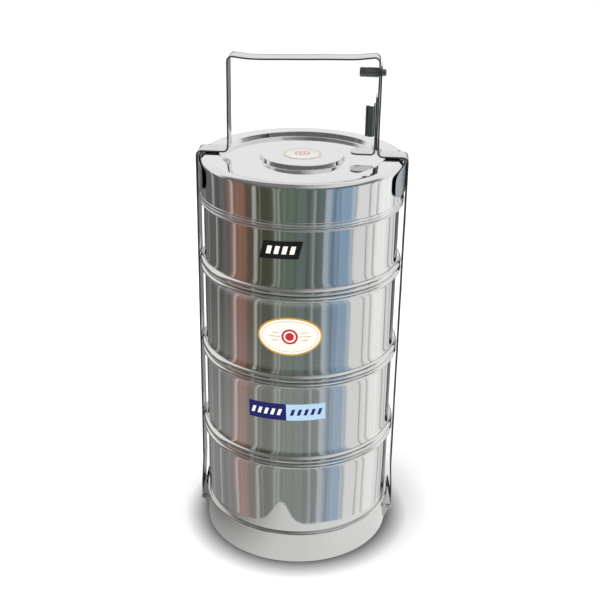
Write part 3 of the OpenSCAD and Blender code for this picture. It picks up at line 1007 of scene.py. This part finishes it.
def room_bands(n, share):
    """The room's colours once round: each band is a plateau with soft sides."""
    stops = []
    for k, colour in enumerate(ROOM):
        stops += [((k + BAND_EDGE) / len(ROOM), colour), ((k + 1 - BAND_EDGE) / len(ROOM), colour)]
    return n.ramp(share, stops)


def build_world():
    """White for the camera and for diffuse light. Polished faces see the room's soft vertical bands."""
    world = bpy.data.worlds.new("studio")
    bpy.context.scene.world = world
    world.use_nodes = True
    n = Nodes(world.node_tree)
    direction = n.add("TexCoord").outputs["Generated"]
    turned = n.add("VectorRotate", {"Vector": direction, "Angle": math.radians(-CAMERA_AZIMUTH)},
                   rotation_type="Z_AXIS").outputs[0]
    part = n.add("SeparateXYZ", {0: turned})
    x, y, z = part.outputs
    bearing = n.math("ARCTAN2", x, n.math("MULTIPLY", y, -1.0))
    share = n.math("ADD", n.math("DIVIDE", bearing, 2 * math.pi), 0.5)
    wobble = n.noise(n.stretched(direction, 3, 3, 1.5), 2.0, 2.0)
    share = n.math("ADD", share, n.math("MULTIPLY", n.math("SUBTRACT", wobble, 0.5), 0.02))
    row = n.add("CombineXYZ", {0: share}).outputs[0]
    streaks = n.noise(row, 32.0, 2.0, 0.55)
    dark = n.between(streaks, 0.48, 0.38)
    light = n.between(streaks, 0.52, 0.64)
    bands = n.mix(n.math("MULTIPLY", dark, 0.65), room_bands(n, share), DARK)
    bands = n.mix(n.math("MULTIPLY", light, 0.45), bands, PALE)
    low_down = n.between(z, -0.4, -0.5)
    bands = n.mix(n.math("MULTIPLY", low_down, 0.2), bands, PALE)
    high_up = n.mix(n.between(x, -0.1, 0.45), HIGH_LEFT, HIGH_RIGHT)
    lifted = n.between(z, 0.02, 0.25)
    facing = n.mix(n.math("MULTIPLY", lifted, 0.93), bands, UPPER_ROOM)
    facing = n.mix(n.between(z, 0.45, 0.65, smooth=True), facing, high_up)
    behind = n.between(y, 0.0, 0.3, smooth=True)
    not_low = n.between(z, -0.02, 0.1, smooth=True)
    room = n.mix(n.math("MULTIPLY", behind, not_low), facing, CEILING)
    reflected = n.add("LightPath").outputs["Is Glossy Ray"]
    plain = n.add("Background", {"Color": grey(1.0), "Strength": 1.0}).outputs[0]
    polished = n.add("Background", {"Color": room, "Strength": 1.0}).outputs[0]
    last = n.add("MixShader", {0: reflected, 1: plain, 2: polished})
    n.add("OutputWorld", {"Surface": last.outputs[0]})


def disc(name, radius, z, steps=180):
    """Flat stage surface. radius gives the distance from the axis for each bearing from the camera."""
    bm = bmesh.new()
    edge = []
    for k in range(steps):
        bearing = 2 * math.pi * k / steps
        a = bearing - math.pi / 2 + math.radians(CAMERA_AZIMUTH)
        r = radius(math.degrees((bearing + math.pi) % (2 * math.pi) - math.pi))
        edge.append(bm.verts.new((r * math.cos(a), r * math.sin(a), z)))
    bm.faces.new(edge)
    o = loose_object(name, bm)
    return o


def floor_material():
    """Pale paper with a painted shadow: its colour darkens softly close to the foot."""
    m, n = new_material("floor_paper_and_painted_shadow")
    place = n.add("TexCoord").outputs["Object"]
    grain = n.noise(place, 5, 2.0)
    far = n.add("VectorMath", {0: place}, operation="LENGTH").outputs["Value"]
    # Painted shadow: the floor's colour turns dark near the foot and pale farther out.
    shade = n.ramp(n.math("DIVIDE", far, 0.15), [(0.48, grey(0.1)), (0.62, grey(0.8)), (0.8, grey(0.98))])
    colour = n.mix(n.math("MULTIPLY", grain, 0.02), shade, grey(0.93))
    bsdf = n.add("BsdfPrincipled", {"Base Color": colour, "Roughness": 0.9, "Specular IOR Level": 0.1})
    n.add("OutputMaterial", {"Surface": bsdf.outputs[0]})
    return m


def table_material():
    """A glowing stand-in for the near part of the table as the polished faces see it, with painted shade
    that makes it darker on the left.
    """
    m, n = new_material("table_glow_painted_shade")
    place = n.add("TexCoord").outputs["Object"]
    across = n.add("SeparateXYZ", {0: place}).outputs[0]
    # Painted shade: the table is darker on the left and paler on the right.
    stops = [(0.0, srgb(0.4, 0.4, 0.4)), (0.4, srgb(0.8, 0.8, 0.8)), (1.0, srgb(0.9, 0.9, 0.9))]
    shade = n.ramp(n.between(across, -0.1, 0.1), stops)
    soft = n.noise(place, 14, 2.0)
    colour = n.mix(n.math("MULTIPLY", soft, 0.1), shade, grey(0.5))
    # Painted light: the table glows instead of being lit.
    glow = n.add("Emission", {"Color": colour, "Strength": 1.1})
    n.add("OutputMaterial", {"Surface": glow.outputs[0]})
    return m


def table_reach(bearing):
    """The pale table reaches farther towards the camera, with one narrow tongue to the left of it."""
    tongue = 0.03 * math.exp(-((bearing + 15) / 10) ** 2)
    return 0.095 + 0.02 * math.cos(math.radians(bearing)) + tongue


def build_floor():
    """A wide pale floor for the camera, with a painted shadow round the foot, and a glowing stand-in for
    the near part of the table as the polished faces see it.
    """
    floor = disc("floor", lambda bearing: 6.0, -0.0002)
    floor.data.materials.append(floor_material())
    floor.visible_glossy = False
    table = disc("table_near", table_reach, -0.0001)
    table.data.materials.append(table_material())
    table.visible_camera = False
    table.visible_diffuse = False
    table.visible_shadow = False


def soft_light(name, place, target, size, watts):
    data = bpy.data.lights.new(name, "AREA")
    data.shape = "DISK"
    data.size = size
    data.energy = watts
    o = bpy.data.objects.new(name, data)
    bpy.context.scene.collection.objects.link(o)
    o.location = place
    o.rotation_mode = "QUATERNION"
    o.rotation_quaternion = (Vector(target) - Vector(place)).to_track_quat("-Z", "Y")
    o.visible_glossy = False
    o.visible_camera = False


def build_lights():
    soft_light("key", (-0.5, -0.5, 1.8), (0, 0, 0.12), 1.2, 16)
    soft_light("fill", (0.9, -1.1, 1.3), (0, 0, 0.15), 1.4, 5)


def build_camera():
    data = bpy.data.cameras.new("camera")
    data.lens = CAMERA_LENS
    data.sensor_width = 36
    data.clip_start = 0.01
    cam = bpy.data.objects.new("camera", data)
    bpy.context.scene.collection.objects.link(cam)
    a, p, r = (math.radians(v) for v in (CAMERA_AZIMUTH, CAMERA_PITCH, CAMERA_ROLL))
    cam.location = (CAMERA_DISTANCE * math.sin(a), -CAMERA_DISTANCE * math.cos(a), CAMERA_HEIGHT)
    tip = Matrix.Rotation(math.pi / 2 - p, 3, "X")
    turn = Matrix.Rotation(a, 3, "Z") @ tip @ Matrix.Rotation(r, 3, "Z")
    cam.rotation_mode = "QUATERNION"
    cam.rotation_quaternion = turn.to_quaternion()
    bpy.context.scene.camera = cam


build_containers()
build_lid()
build_base()
build_handle()
build_clasp()
build_latch()
build_thumb_tab()
build_guide(-1, "handle_arm", "left_guide_plate", "left_guide", STEEL_GUIDE_LEFT)
build_guide(1, "clasp_arm", "right_guide_plate", "right_guide", STEEL_GUIDE_RIGHT)
build_lock()
build_labels()
build_hinges()
build_world()
build_floor()
build_lights()
build_camera()

scene = bpy.context.scene
scene.view_settings.view_transform = "Standard"
scene.view_settings.look = "None"
